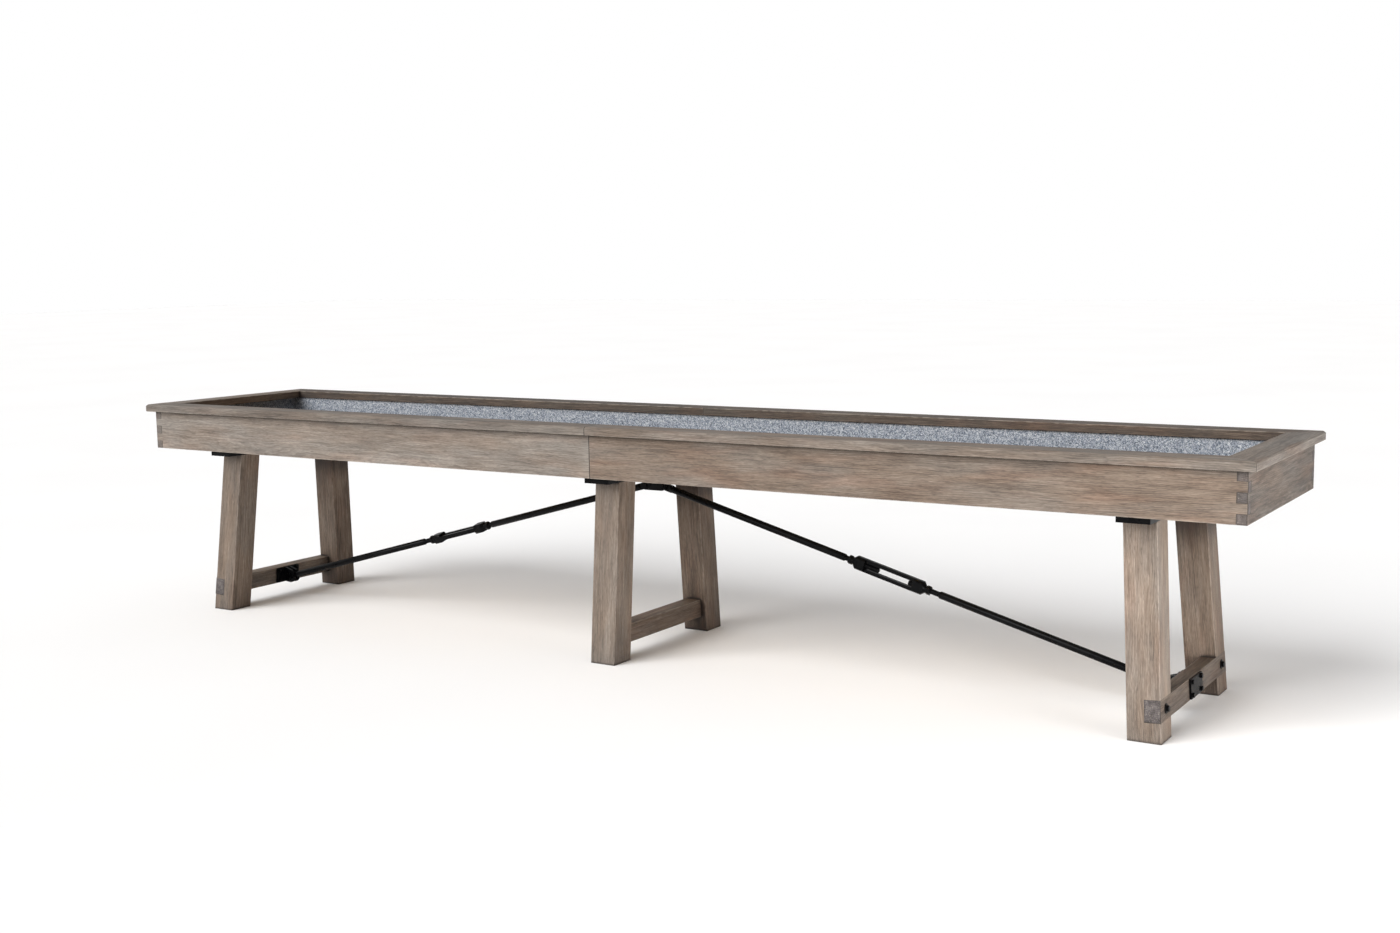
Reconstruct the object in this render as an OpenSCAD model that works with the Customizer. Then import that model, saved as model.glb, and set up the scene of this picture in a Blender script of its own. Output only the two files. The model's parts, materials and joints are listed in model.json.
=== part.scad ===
// Shuffleboard table: a two-piece cabinet on three leg frames, braced by two tension rods.
// X runs along the table, Y across it (front at -Y), Z up from the floor at the table's centre.

/* [Cabinet] */
// Length of the cabinet over its end aprons
cabinet_l = 4216; // [4180:2:4280]
// Width of the cabinet over its long aprons
cabinet_w = 775; // [765:1:800]
// Height of the apron boards
apron_h = 144.8; // [140:0.2:160]
// Thickness of the apron boards
board_t = 30; // [26:1:32]
// Height of the aprons' lower edge above the floor
apron_z = 632.7; // [600:0.1:660]
// Number of fingers in each box joint, an odd number
finger_n = 5; // [3:2:9]

/* [Cap rail] */
// Width of the cap rail
cap_w = 95; // [85:1:105]
// Thickness of the cap rail
cap_t = 28.1; // [24:0.1:34]
// How far the cap rail stands out past the aprons
cap_out = 25.5; // [10:0.5:35]
// Chamfer along the outer top edge of the cap rail
cap_chamfer = 6; // [2:0.5:9]

/* [Playfield] */
// Length of the playfield
playfield_l = 3950; // [3800:10:3960]
// Width of the playfield
playfield_w = 508; // [500:1:530]
// Thickness of the playfield
playfield_t = 45; // [38:1:48]
// Height of the playing surface above the floor
playfield_z = 724; // [720:1:730]

/* [Leg frames] */
// Side of the square leg section
leg_a = 97; // [90:1:100]
// Distance from the middle frame to each end frame, at the top
end_frame_x = 1794.3; // [1700:1:1820]
// Distance from the centre plane to the middle of a leg's top
leg_top_y = 240.1; // [235:0.5:250]
// Sideways splay of every leg from the vertical, in degrees
splay = 4.85; // [3:0.05:6]
// Outward lean of the end frames from the vertical, in degrees
end_lean = 3.64; // [2:0.02:5]
// Height of the steel plate seen between legs and aprons
plate_drop = 21.9; // [18:0.1:26]
// Length of the steel plate across the table
plate_l = 701; // [690:1:705]
// Height of a stretcher
stretcher_h = 63.4; // [56:0.2:70]
// Thickness of the end stretchers
end_stretcher_t = 46.4; // [40:0.2:48]
// Thickness of the middle stretcher
mid_stretcher_t = 60; // [50:1:66]
// Distance from the leg tops down to the middle of the stretchers
stretcher_drop = 525; // [500:1:540]

/* [Tension rods] */
// Diameter of the rods
rod_d = 24; // [22:0.5:26]
// Diameter of the threaded rod ends
stud_d = 18; // [16:0.5:18.5]
// Distance of the turnbuckles from the table's centre
turnbuckle_x = 896; // [800:4:1000]
// Length of a turnbuckle from tip to tip
turnbuckle_l = 272; // [260:2:290]
// Width of a turnbuckle over its two bars
turnbuckle_w = 44; // [42:0.5:46]
// Distance of the upper pins from the centre, along the table
upper_pin_x = 34; // [30:1:38]
// Height of the upper pins above the floor
upper_pin_z = 562; // [556:1:570]
// Distance of the lower pins inwards from the leg centre line
lower_pin_in = 30; // [28:0.5:36]

/* [Levelers] */
// Height of a leveler pad above the floor when screwed right in
leveler_up = 2; // [1:0.5:3]

/* [Hidden] */
$fn = 48;

left = -1;
middle = 0;
right = 1;
front = -1;
back = 1;
over = 1;           // how far a cutting tool runs past the face it cuts
run_gap = 0.05;     // radial clearance of a turning or sliding thread
drill_gap = 0.1;    // radial clearance round a fixed bolt

half_l = cabinet_l / 2;
half_w = cabinet_w / 2;
inner_l = half_l - board_t;
inner_w = half_w - board_t;
apron_top = apron_z + apron_h;
finger_h = apron_h / finger_n;
cap_half_l = half_l + cap_out;
cap_half_w = half_w + cap_out;

// Steel plate and joists under the cabinet
leg_top = apron_z - plate_drop;
plate_w = 96.6;
plate_t = 6;
plate_top = apron_z + 2;
joist_t = 22;
joist_top = plate_top + joist_t;
joist_w = 90;
joist_xs = [-1200, -600, 600, 1200];
gutter_t = 9;
gutter_top = joist_top + gutter_t;
gutter_in = 225;    // inner edge of the long gutter boards
gutter_tuck = 15;   // how far the end gutter boards reach under the playfield
carpet_t = 4;
liner_t = 28;       // rails that line the long walls and carry their carpet
loose_gap = 0.1;    // gap that keeps neighbouring boards of one node apart
lined_w = inner_w - liner_t;
playfield_under = playfield_z - playfield_t;
block_w = 60;
block_l = 400;

// Bolts that hold a leg frame to the cabinet, and the two cabinet halves together
frame_bolt_d = 10;
frame_bolt_x = 22;
frame_bolt_deep = 70;
nut_pocket_d = 26;
nut_pocket_t = 10;
hex_m10 = 16;
hex_m10_t = 7;
seam_bolt_ys = [-300, -120, 120, 300];
seam_bolt_z = plate_top + 11;

// Stretchers and their brackets, in the frame of a leg pair
lap_in = leg_a / 2 - end_stretcher_t;
lap_bolt_l = 80;
lap_flange_d = 28;
lap_flange_t = 2.5;
tenon_l = 35;
tenon_t = 30;
tenon_h = 44;
back_plate_w = 116;
back_plate_h = 58;
back_plate_t = 6;
ear_t = 8;
ear_gap = 14;
ear_r = 26;
pin_below = 4;
pin_d = 12;
plate_bolt_d = 8;
plate_bolt_y = 44;
plate_bolt_z = 19.5;
hex_m8 = 13;
hex_m8_t = 5.3;

// Centre bracket under the middle plate
centre_base_l = 150;
centre_base_w = 90;
centre_base_t = 8;
centre_ear_t = 10;
centre_ear_r = 15;
centre_screw_x = 30;
centre_screw_y = 58;
centre_screw_l = 34;

// Lower pin in the table's frame, and the rod's slope from there up to the centre
pin_drop = stretcher_drop + pin_below;
lower_pin_x = end_frame_x - lower_pin_in * cos(end_lean) + pin_drop * sin(end_lean);
lower_pin_z = leg_top - lower_pin_in * sin(end_lean) - pin_drop * cos(end_lean);
rod_run = lower_pin_x - upper_pin_x;
rod_rise = upper_pin_z - lower_pin_z;
rod_span = sqrt(rod_run * rod_run + rod_rise * rod_rise);
rod_slope = atan(rod_rise / rod_run);
turnbuckle_at = (lower_pin_x - turnbuckle_x) / cos(rod_slope);
tip_at = turnbuckle_l / 2;
window_half = 88;
window_w = 21;
bar_t = 16;
boss_t = 33;
tip_d = 25;
upper_stud_in = 50;
lower_stud_in = 18;
upper_stud_out = 17;
lower_stud_out = 36;
eye_t = 13.4;
eye_r = 15;
jam_hex = 27;
jam_t = 12;
jam_gap = 0.5;

// Levelers and their inserts, on the foot of each leg
leveler_d = 40;
leveler_t = 8;
leveler_stud_d = 12;
leveler_stud_l = 40;
pocket_d = 46;
pocket_t = 14;
insert_d = 16;
insert_l = 24;
insert_flange_d = 30;
insert_flange_t = 2;
foot_x = leg_top * tan(end_lean);
foot_drop = leg_top / cos(end_lean);

// Climatic adjusters under the playfield
adjuster_xs = [-1500, -300, 300, 1500];
adjuster_y = 170;
adjuster_z = 659;
adjuster_screw_d = 12;
adjuster_screw_l = 384;
adjuster_hex = 19;
adjuster_hex_l = 22;
bracket_w = 60;
bracket_t = 5;
bracket_web_t = 14;
bracket_foot_l = 50;
bracket_low = 14;       // reach of a bracket's web below the adjuster screw
bracket_screw_x = 20;
bracket_screw_y = 22;
wood_screw_d = 5;
wood_screw_head_t = 2.5;
wood_screw_in = 25;     // reach of a bracket's wood screws into the playfield

// ---- helpers

module on_side(sx) {
    if (sx < 0) mirror([1, 0, 0]) children();
    else children();
}

module on_row(sy) {
    if (sy < 0) mirror([0, 1, 0]) children();
    else children();
}

// Places children in the frame of a leg pair: origin on the leg tops, X outwards, leaning as the pair does
module in_pair(sx) {
    on_side(sx)
        translate([abs(sx) * end_frame_x, 0, leg_top])
            rotate([0, -abs(sx) * end_lean, 0]) children();
}

// Distance from the centre plane to a leg's outer and inner face, this far below its top
function leg_outer(drop) = leg_top_y + leg_a / cos(splay) / 2 + drop * tan(splay);
function leg_inner(drop) = leg_outer(drop) - leg_a / cos(splay);
function foot_y() = leg_top_y + foot_drop * tan(splay);

// Places children on a rod: origin at its lower pin, Z up along the rod
module on_rod(sx) {
    on_side(sx)
        translate([lower_pin_x, 0, lower_pin_z])
            rotate([0, rod_slope - 90, 0]) children();
}

module hex_prism(across, h) {
    cylinder(d = across / cos(30), h = h, $fn = 6);
}

// Hexagon bolt: its head stands on Z = 0 and its shank hangs below
module hex_bolt(d, l, across, head_t) {
    hex_prism(across, head_t);
    translate([0, 0, -l]) cylinder(d = d, h = l);
}

// Four places at the corners of a rectangle
module four_corners(dx, dy) {
    for (x = [-dx, dx], y = [-dy, dy]) translate([x, y, 0]) children();
}

// ---- cabinet

// Blocks that clear every second finger at one corner, widened past the board that they cut
module finger_cuts(first, wide_x, wide_y) {
    for (i = [first : 2 : finger_n - 1])
        translate([inner_l - wide_x, inner_w - wide_y, apron_z + i * finger_h - (i == 0 ? over : 0)])
            cube([board_t + wide_x + over, board_t + wide_y + over,
                  finger_h + (i == 0 || i == finger_n - 1 ? over : 0)]);
}

module apron_long(sx, sy) {
    color("#8c7d6e") on_side(sx) on_row(sy)
        difference() {
            translate([0, inner_w, apron_z]) cube([half_l, board_t, apron_h]);
            finger_cuts(0, 0, over);
        }
}

module apron_end(sx) {
    color("#857668") on_side(sx)
        difference() {
            translate([inner_l, -half_w, apron_z]) cube([board_t, cabinet_w, apron_h]);
            for (sy = [front, back]) on_row(sy) finger_cuts(1, over, 0);
        }
}

// Cap rail section: outer edge at 0, inner edge at cap_w
module cap_section() {
    ease = 1.5;
    polygon([[ease, 0], [cap_w - ease, 0], [cap_w, ease], [cap_w, cap_t - ease], [cap_w - ease, cap_t],
             [cap_chamfer, cap_t], [0, cap_t - cap_chamfer], [0, ease]]);
}

// Half-plane block at the cap's corner: side 1 clears the end rail's part, side -1 the long rail's
module mitre_cut(side) {
    m = 2 * cap_w;
    translate([cap_half_l, cap_half_w, apron_top - over])
        linear_extrude(cap_t + 2 * over)
            polygon([[m, m], [-2 * m, -2 * m], side > 0 ? [m, -2 * m] : [-2 * m, m]]);
}

module cap_long(sx, sy) {
    color("#9a8b7b") on_side(sx) on_row(sy)
        difference() {
            translate([0, cap_half_w, apron_top])
                rotate([90, 0, 90]) mirror([1, 0, 0]) linear_extrude(cap_half_l) cap_section();
            mitre_cut(1);
        }
}

module cap_end(sx) {
    color("#93857a") on_side(sx)
        difference() {
            translate([cap_half_l, cap_half_w, apron_top])
                rotate([90, 0, 0]) mirror([1, 0, 0]) linear_extrude(2 * cap_half_w) cap_section();
            for (sy = [front, back]) on_row(sy) mitre_cut(-1);
        }
}

// Joist over a leg frame: its lower part sits inside the steel plate's upturned edges
module frame_joist() {
    difference() {
        union() {
            translate([-plate_w / 2 + plate_t, -plate_l / 2 + plate_t, leg_top + plate_t])
                cube([plate_w - 2 * plate_t, plate_l - 2 * plate_t, plate_top - leg_top - plate_t + over]);
            translate([-plate_w / 2, -inner_w, plate_top]) cube([plate_w, 2 * inner_w, joist_t]);
        }
        for (y = [-leg_top_y, leg_top_y], x = [-frame_bolt_x, frame_bolt_x])
            translate([x, y, leg_top]) {
                cylinder(r = frame_bolt_d / 2 + drill_gap, h = joist_top - leg_top + over);
                translate([0, 0, joist_top - leg_top - nut_pocket_t])
                    cylinder(d = nut_pocket_d, h = nut_pocket_t + over);
            }
    }
}

module seam_bolt_holes() {
    for (y = seam_bolt_ys)
        translate([-plate_w, y, seam_bolt_z])
            rotate([0, 90, 0]) cylinder(r = frame_bolt_d / 2 + drill_gap, h = 2 * plate_w);
}

module centre_screw_holes() {
    four_corners(centre_screw_x, centre_screw_y)
        translate([0, 0, leg_top - centre_base_t - over])
            cylinder(r = plate_bolt_d / 2 + drill_gap, h = centre_screw_l + 2 * over);
}

module cross_joists() {
    color("#b89a6c") {
        for (x = joist_xs)
            translate([x - joist_w / 2, -inner_w, plate_top]) cube([joist_w, 2 * inner_w, joist_t]);
        for (sx = [left, right]) {
            translate([sx * end_frame_x, 0, 0]) frame_joist();
            // The joist at the seam is two planks, one on each half of the cabinet
            on_side(sx) difference() {
                frame_joist();
                translate([-plate_w, -half_w, 0]) cube([plate_w + 0.1, cabinet_w, apron_top]);
                seam_bolt_holes();
                centre_screw_holes();
            }
        }
    }
}

// Floor of the gutters in one half, and the liner rails that stand on it along the long walls
module gutter_boards(sx) {
    color("#c2a878") on_side(sx) translate([0, 0, joist_top]) {
        for (sy = [front, back])
            on_row(sy) {
                translate([0, gutter_in, 0]) cube([inner_l, inner_w - gutter_in, gutter_t]);
                translate([0, lined_w, gutter_t + loose_gap])
                    cube([inner_l, liner_t, apron_top - gutter_top - loose_gap]);
            }
        translate([playfield_l / 2 - gutter_tuck, -gutter_in + loose_gap, 0])
            cube([inner_l - playfield_l / 2 + gutter_tuck, 2 * (gutter_in - loose_gap), gutter_t]);
    }
}

// Lining of one half: up the three walls and over the gutter boards
module carpet(sx) {
    color("#8f959c") on_side(sx)
        difference() {
            translate([0, -lined_w, gutter_top]) cube([inner_l, 2 * lined_w, apron_top - gutter_top]);
            translate([-over, -lined_w + carpet_t, gutter_top + carpet_t])
                cube([inner_l - carpet_t + over, 2 * (lined_w - carpet_t), apron_h]);
            translate([-over, -gutter_in, gutter_top - over])
                cube([playfield_l / 2 - gutter_tuck + over, 2 * gutter_in, carpet_t + 2 * over]);
        }
}

// ---- playfield and its adjusters

module playfield() {
    ease = 2;
    color("#d9b27c")
        difference() {
            translate([-playfield_l / 2, 0, playfield_under])
                rotate([90, 0, 90]) linear_extrude(playfield_l)
                    polygon([[-playfield_w / 2, 0], [playfield_w / 2, 0],
                             [playfield_w / 2, playfield_t - ease], [playfield_w / 2 - ease, playfield_t],
                             [-playfield_w / 2 + ease, playfield_t], [-playfield_w / 2, playfield_t - ease]]);
            at_bracket_screws()
                cylinder(r = wood_screw_d / 2 + drill_gap, h = bracket_t + wood_screw_in + over);
        }
}

module playfield_blocks() {
    color("#a98a5c")
        for (x = concat([-end_frame_x, 0, end_frame_x], joist_xs))
            translate([x - block_w / 2, -block_l / 2, joist_top])
                cube([block_w, block_l, playfield_under - joist_top]);
}

// Screw across the table: one end is threaded right-handed, the other left-handed
module adjuster_screw(x) {
    color("#9aa0a6")
        translate([x, 0, adjuster_z]) rotate([90, 0, 0]) {
            translate([0, 0, -adjuster_screw_l / 2]) cylinder(d = adjuster_screw_d, h = adjuster_screw_l);
            translate([0, 0, -adjuster_hex_l / 2]) hex_prism(adjuster_hex, adjuster_hex_l);
        }
}

// Places children at each wood screw of the adjuster brackets, on the face of the bracket's foot
module at_bracket_screws() {
    for (x = adjuster_xs, dx = [-bracket_screw_x, bracket_screw_x], sy = [front, back])
        translate([x + dx, sy * (adjuster_y + bracket_web_t / 2 + bracket_screw_y), playfield_under - bracket_t])
            children();
}

module adjuster_brackets() {
    color("#3a3c3f")
        difference() {
            for (x = adjuster_xs, sy = [front, back])
                on_row(sy) translate([x - bracket_w / 2, adjuster_y - bracket_web_t / 2, 0]) {
                    translate([0, 0, playfield_under - bracket_t])
                        cube([bracket_w, bracket_foot_l, bracket_t]);
                    translate([0, 0, adjuster_z - bracket_low])
                        cube([bracket_w, bracket_web_t, playfield_under - adjuster_z + bracket_low]);
                }
            for (x = adjuster_xs)
                translate([x, adjuster_y + bracket_w, adjuster_z]) rotate([90, 0, 0])
                    cylinder(r = adjuster_screw_d / 2 + run_gap, h = 2 * (adjuster_y + bracket_w));
            at_bracket_screws() translate([0, 0, -over])
                cylinder(r = wood_screw_d / 2 + drill_gap, h = bracket_t + 2 * over);
        }
}

// ---- leg frames

// Square leg with eased edges, on the axis of a leg whose top centre is at the origin
module leg_blank(reach) {
    ease = 2.5;
    h = leg_a / 2;
    k = h - ease;
    translate([0, 0, -reach])
        linear_extrude(2 * reach)
            polygon([[-h, -k], [-k, -h], [k, -h], [h, -k], [h, k], [k, h], [-k, h], [-h, k]]);
}

module foot_at(sx, sy) {
    on_side(sx) on_row(sy)
        translate([abs(sx) * (end_frame_x + foot_x), sx == middle ? leg_top_y + leg_top * tan(splay) : foot_y(), 0])
            children();
}

module leg(sx, sy) {
    color("#8a7c6f")
        difference() {
            intersection() {
                in_pair(sx) on_row(sy)
                    translate([0, leg_top_y, 0]) rotate([splay, 0, 0]) leg_blank(leg_top * 1.2);
                translate([-half_l, -half_w, 0]) cube([cabinet_l, cabinet_w, leg_top]);
            }
            // Seat of the stretcher: a lap in the outer face on the end frames, a mortise in the middle
            if (sx == middle)
                translate([-tenon_t / 2, sy > 0 ? 0 : -leg_inner(stretcher_drop) - tenon_l,
                           leg_top - stretcher_drop - tenon_h / 2])
                    cube([tenon_t, leg_inner(stretcher_drop) + tenon_l, tenon_h]);
            else
                in_pair(sx) {
                    translate([lap_in, -half_w, -stretcher_drop - stretcher_h / 2])
                        cube([leg_a, cabinet_w, stretcher_h]);
                    lap_bolt_places() translate([0, 0, -lap_bolt_l])
                        cylinder(r = frame_bolt_d / 2 + drill_gap, h = lap_bolt_l);
                }
            // Holes of the two bolts that hold the leg to its plate
            for (x = [-frame_bolt_x, frame_bolt_x])
                translate([sx * end_frame_x + x, sy * leg_top_y, leg_top - frame_bolt_deep - over])
                    cylinder(r = frame_bolt_d / 2 + drill_gap, h = frame_bolt_deep + 2 * over);
            // Pocket and insert hole for the leveler
            foot_at(sx, sy) translate([0, 0, -over]) {
                cylinder(d = pocket_d, h = pocket_t + over);
                cylinder(d = insert_d, h = pocket_t + insert_l + over);
                cylinder(r = leveler_stud_d / 2 + 1, h = leveler_up + leveler_t + leveler_stud_l + 4);
            }
        }
}

module end_stretcher(sx) {
    low = stretcher_drop + stretcher_h / 2;
    high = stretcher_drop - stretcher_h / 2;
    color("#8f8072")
        difference() {
            in_pair(sx) translate([lap_in, 0, 0]) rotate([90, 0, 90])
                linear_extrude(end_stretcher_t)
                    polygon([[-leg_outer(low), -low], [leg_outer(low), -low],
                             [leg_outer(high), -high], [-leg_outer(high), -high]]);
            in_pair(sx) {
                lap_bolt_places() translate([0, 0, -leg_a])
                    cylinder(r = frame_bolt_d / 2 + drill_gap, h = leg_a + over);
                plate_bolt_places() translate([0, 0, -leg_a])
                    cylinder(r = plate_bolt_d / 2 + drill_gap, h = leg_a + over);
            }
        }
}

module stretcher_middle() {
    low = stretcher_drop + stretcher_h / 2;
    high = stretcher_drop - stretcher_h / 2;
    reach = leg_inner(stretcher_drop) + tenon_l - 0.2;
    color("#7d7064")
        translate([0, 0, leg_top]) {
            translate([-mid_stretcher_t / 2, 0, 0]) rotate([90, 0, 90])
                linear_extrude(mid_stretcher_t)
                    polygon([[-leg_inner(low), -low], [leg_inner(low), -low],
                             [leg_inner(high), -high], [-leg_inner(high), -high]]);
            translate([-tenon_t / 2, -reach, -stretcher_drop - tenon_h / 2]) cube([tenon_t, 2 * reach, tenon_h]);
        }
}

// Shallow steel tray across the leg tops, with the joist bedded in it
module leg_plate(sx) {
    color("#1d1e20")
        translate([sx * end_frame_x, 0, leg_top])
            difference() {
                translate([-plate_w / 2, -plate_l / 2, 0]) cube([plate_w, plate_l, plate_top - leg_top]);
                translate([-plate_w / 2 + plate_t, -plate_l / 2 + plate_t, plate_t])
                    cube([plate_w - 2 * plate_t, plate_l - 2 * plate_t, plate_top]);
                four_corners(frame_bolt_x, leg_top_y)
                    translate([0, 0, -over]) cylinder(r = frame_bolt_d / 2 + drill_gap, h = plate_t + 2 * over);
                if (sx == middle) translate([0, 0, -leg_top]) centre_screw_holes();
            }
}

// ---- fasteners of the leg frames

// Places children on the outer face of an end frame's legs, Z outwards
module lap_bolt_places() {
    for (sy = [front, back])
        translate([leg_a / 2, sy * (leg_top_y + stretcher_drop * tan(splay)), -stretcher_drop])
            rotate([0, 90, 0]) children();
}

// Places children on the outer face of an end stretcher at the back plate's four bolts, Z outwards
module plate_bolt_places() {
    for (y = [-plate_bolt_y, plate_bolt_y], z = [-plate_bolt_z, plate_bolt_z])
        translate([leg_a / 2, y, z - stretcher_drop]) rotate([0, 90, 0]) children();
}

module lap_bolts() {
    color("#16171a")
        for (sx = [left, right])
            in_pair(sx) lap_bolt_places() {
                cylinder(d = lap_flange_d, h = lap_flange_t);
                translate([0, 0, lap_flange_t]) hex_bolt(frame_bolt_d, lap_bolt_l - over, hex_m10, hex_m10_t);
            }
}

// Bolts through back plate, stretcher and clevis, each with its nut on the inside
module bracket_bolts() {
    grip = back_plate_t + end_stretcher_t + back_plate_t;
    color("#16171a")
        for (sx = [left, right])
            in_pair(sx) plate_bolt_places() translate([0, 0, back_plate_t]) {
                hex_bolt(plate_bolt_d, grip + hex_m8_t + 4, hex_m8, hex_m8_t);
                translate([0, 0, -grip - hex_m8_t - 1.2]) hex_prism(hex_m8, hex_m8_t + 1.2);
            }
}

module back_plate(sx) {
    color("#202124")
        in_pair(sx) difference() {
            translate([leg_a / 2, -back_plate_w / 2, -stretcher_drop - back_plate_h / 2])
                cube([back_plate_t, back_plate_w, back_plate_h]);
            plate_bolt_places() translate([0, 0, -over])
                cylinder(r = plate_bolt_d / 2 + drill_gap, h = back_plate_t + 2 * over);
        }
}

// Bracket on the inner face of an end stretcher: base plate and two ears round the rod's eye
module clevis(sx) {
    base_x = lap_in - back_plate_t;
    color("#202124")
        in_pair(sx) difference() {
            union() {
                translate([base_x, -back_plate_w / 2, -stretcher_drop - back_plate_h / 2])
                    cube([back_plate_t, back_plate_w, back_plate_h]);
                for (y = [-ear_gap / 2, ear_gap / 2 + ear_t]) translate([0, y, -stretcher_drop]) rotate([90, 0, 0])
                    linear_extrude(ear_t) hull() {
                        translate([base_x, -back_plate_h / 2]) square([1, back_plate_h]);
                        translate([-lower_pin_in, -pin_below]) circle(r = ear_r);
                    }
            }
            translate([-lower_pin_in, half_w / 2, -pin_drop]) rotate([90, 0, 0])
                cylinder(r = pin_d / 2 + run_gap, h = half_w);
            plate_bolt_places() translate([0, 0, -leg_a])
                cylinder(r = plate_bolt_d / 2 + drill_gap, h = leg_a);
        }
}

// Bracket under the middle plate: two ears hold the upper pins of both rods
module centre_bracket() {
    ear_low = upper_pin_z - centre_ear_r;
    base_z = leg_top - centre_base_t;
    color("#202124")
        difference() {
            union() {
                translate([-centre_base_w / 2, -centre_base_l / 2, base_z])
                    cube([centre_base_w, centre_base_l, centre_base_t]);
                for (y = [-ear_gap / 2 - centre_ear_t, ear_gap / 2]) {
                    translate([-centre_base_w / 2, y, upper_pin_z])
                        cube([centre_base_w, centre_ear_t, base_z - upper_pin_z + 1]);
                    translate([-upper_pin_x, y, ear_low]) cube([2 * upper_pin_x, centre_ear_t, centre_ear_r + 1]);
                    for (x = [-upper_pin_x, upper_pin_x])
                        translate([x, y + centre_ear_t, upper_pin_z]) rotate([90, 0, 0])
                            cylinder(r = centre_ear_r, h = centre_ear_t);
                }
            }
            for (x = [-upper_pin_x, upper_pin_x])
                translate([x, half_w / 2, upper_pin_z]) rotate([90, 0, 0])
                    cylinder(r = pin_d / 2 + run_gap, h = half_w);
            centre_screw_holes();
        }
}

// Headed pin with a retaining collar, along Y
module clevis_pin(grip) {
    rotate([90, 0, 0]) {
        translate([0, 0, -grip / 2]) cylinder(d = pin_d, h = grip);
        translate([0, 0, grip / 2 + 0.1]) cylinder(d = pin_d + 7, h = 4);
        translate([0, 0, grip / 2 - 1]) cylinder(d = pin_d, h = 2);
        translate([0, 0, -grip / 2 - 5]) cylinder(d = pin_d, h = 6);
        translate([0, 0, -grip / 2 - 3.1]) cylinder(d = pin_d + 5, h = 3);
    }
}

module clevis_pins() {
    color("#2b2c30")
        for (sx = [left, right]) {
            on_side(sx) translate([lower_pin_x, 0, lower_pin_z]) clevis_pin(ear_gap + 2 * ear_t);
            translate([sx * upper_pin_x, 0, upper_pin_z]) clevis_pin(ear_gap + 2 * centre_ear_t);
        }
}

// ---- tension rods

// Rod from its pin at the origin up along Z, necked down to a stud that ends at stud_end
module rod(neck_at, stud_end) {
    tang_l = 38;
    neck_l = 5;
    difference() {
        union() {
            rotate([90, 0, 0]) translate([0, 0, -eye_t / 2]) cylinder(r = eye_r, h = eye_t);
            translate([-rod_d / 2, -eye_t / 2, 0]) cube([rod_d, eye_t, tang_l]);
            translate([0, 0, tang_l - 8]) cylinder(d = rod_d, h = neck_at - tang_l + 8);
            translate([0, 0, neck_at]) cylinder(d1 = rod_d, d2 = stud_d, h = neck_l);
            translate([0, 0, neck_at + neck_l - over]) cylinder(d = stud_d, h = stud_end - neck_at - neck_l + over);
        }
        rotate([90, 0, 0]) translate([0, 0, -eye_r])
            cylinder(r = pin_d / 2 + run_gap, h = 2 * eye_r);
    }
}

module rod_lower(sx) {
    color("#1b1c1f") on_rod(sx)
        rod(turnbuckle_at - tip_at - jam_gap - jam_t - lower_stud_out, turnbuckle_at - window_half + lower_stud_in);
}

module rod_upper(sx) {
    above = rod_span - turnbuckle_at;
    color("#1b1c1f") on_rod(sx) translate([0, 0, rod_span]) rotate([180, 0, 0])
        rod(above - tip_at - jam_gap - jam_t - upper_stud_out, above - window_half + upper_stud_in);
}

// Open turnbuckle: two tapered bosses joined by two bars, spin turns it about the rod
module turnbuckle(sx, spin) {
    shoulder_r = turnbuckle_w / 2 + 1;
    taper_l = 11;
    collar_l = 5;
    shoulder_at = tip_at - collar_l - taper_l;
    color("#17181b") on_rod(sx) translate([0, 0, turnbuckle_at]) rotate([0, 0, spin])
        difference() {
            union() {
                intersection() {
                    rotate_extrude()
                        polygon([[0, -tip_at + collar_l], [tip_d / 2, -tip_at + collar_l], [shoulder_r, -shoulder_at],
                                 [shoulder_r, shoulder_at], [tip_d / 2, tip_at - collar_l], [0, tip_at - collar_l]]);
                    union() {
                        cube([turnbuckle_w, bar_t, turnbuckle_l], center = true);
                        for (e = [-1, 1]) translate([0, 0, e * (window_half + tip_at) / 2])
                            cube([turnbuckle_w, boss_t, tip_at - window_half], center = true);
                    }
                }
                for (e = [-1, 1]) translate([0, 0, e * (tip_at - 10) - 10]) cylinder(d = tip_d, h = 20);
            }
            cube([window_w, turnbuckle_w, 2 * window_half], center = true);
            translate([0, 0, -turnbuckle_l]) cylinder(r = stud_d / 2 + run_gap, h = 2 * turnbuckle_l);
        }
}

module jam_nuts() {
    color("#17181b")
        for (sx = [left, right], e = [-1, 1])
            on_rod(sx) translate([0, 0, turnbuckle_at + e * (tip_at + jam_gap + jam_t / 2) - jam_t / 2])
                difference() {
                    hex_prism(jam_hex, jam_t);
                    translate([0, 0, -over]) cylinder(r = stud_d / 2 + run_gap, h = jam_t + 2 * over);
                }
}

// ---- levelers

module leveler(sx, sy) {
    color("#2a2b2d")
        foot_at(sx, sy) translate([0, 0, leveler_up]) {
            cylinder(d1 = leveler_d - 4, d2 = leveler_d, h = 2);
            translate([0, 0, 2]) cylinder(d = leveler_d, h = leveler_t - 2);
            translate([0, 0, leveler_t - over]) cylinder(d = leveler_stud_d, h = leveler_stud_l + over);
        }
}

module leveler_inserts() {
    color("#a8abae")
        for (sx = [left, middle, right], sy = [front, back])
            foot_at(sx, sy) translate([0, 0, pocket_t])
                difference() {
                    union() {
                        cylinder(d = insert_d - 0.1, h = insert_l - 0.2);
                        translate([0, 0, -insert_flange_t]) cylinder(d = insert_flange_d, h = insert_flange_t);
                    }
                    translate([0, 0, -insert_flange_t - over])
                        cylinder(r = leveler_stud_d / 2 + run_gap, h = insert_l + insert_flange_t + 2 * over);
                }
}

// ---- fasteners of the cabinet

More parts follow.
